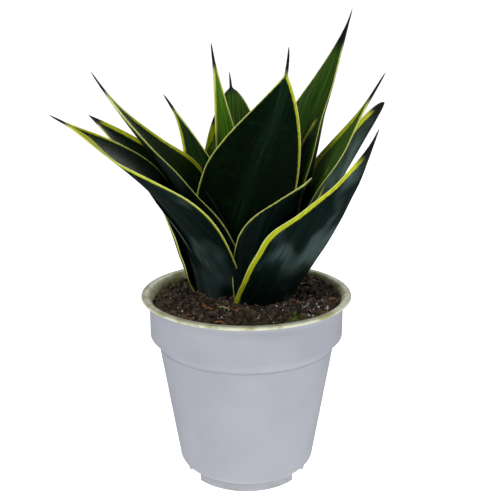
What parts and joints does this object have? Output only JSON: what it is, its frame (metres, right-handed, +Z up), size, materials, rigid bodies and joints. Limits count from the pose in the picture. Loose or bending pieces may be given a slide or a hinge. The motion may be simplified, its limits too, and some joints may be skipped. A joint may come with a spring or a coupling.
{
  "type": "potted snake plant",
  "caption": "Young snake plant: a rosette of channelled, pointed, yellow-edged leaves in a round tapered plastic nursery pot filled with dark potting mix.",
  "frame": {"origin": "on the surface the pot stands on, under the middle of the whole plant's bounding box", "axes": "+Z up along the pot's axis, which is not over the origin, and -Y towards the front, which the pictured side is"},
  "size_m": [0.1658, 0.1286, 0.2323],
  "materials": {
    "pot_plastic": "pale cool grey moulded plastic, satin",
    "potting_mix": "dark moist peat with bark and perlite, rough",
    "leaf": "dark green, yellow margins, waxy gloss",
    "stem": "pale buff, fibrous"
  },
  "bodies": {
    "root": {"pot": "pot_plastic", "potting_mix": "potting_mix", "underground_stem": "stem", "leaf_centre": "leaf", "leaf_front_right": "leaf", "leaf_front_left": "leaf", "leaf_front_small": "leaf", "leaf_tall_right": "leaf", "leaf_upper_left": "leaf", "leaf_right": "leaf", "leaf_far_left": "leaf", "leaf_spear": "leaf", "leaf_heart": "leaf", "leaf_inner_left": "leaf", "leaf_back_left": "leaf", "leaf_back_inner": "leaf", "leaf_back_right": "leaf", "leaf_outer_right": "leaf", "leaf_low_left": "leaf", "leaf_rear_right": "leaf", "leaf_rear_left": "leaf"}
  },
  "joints": []
}
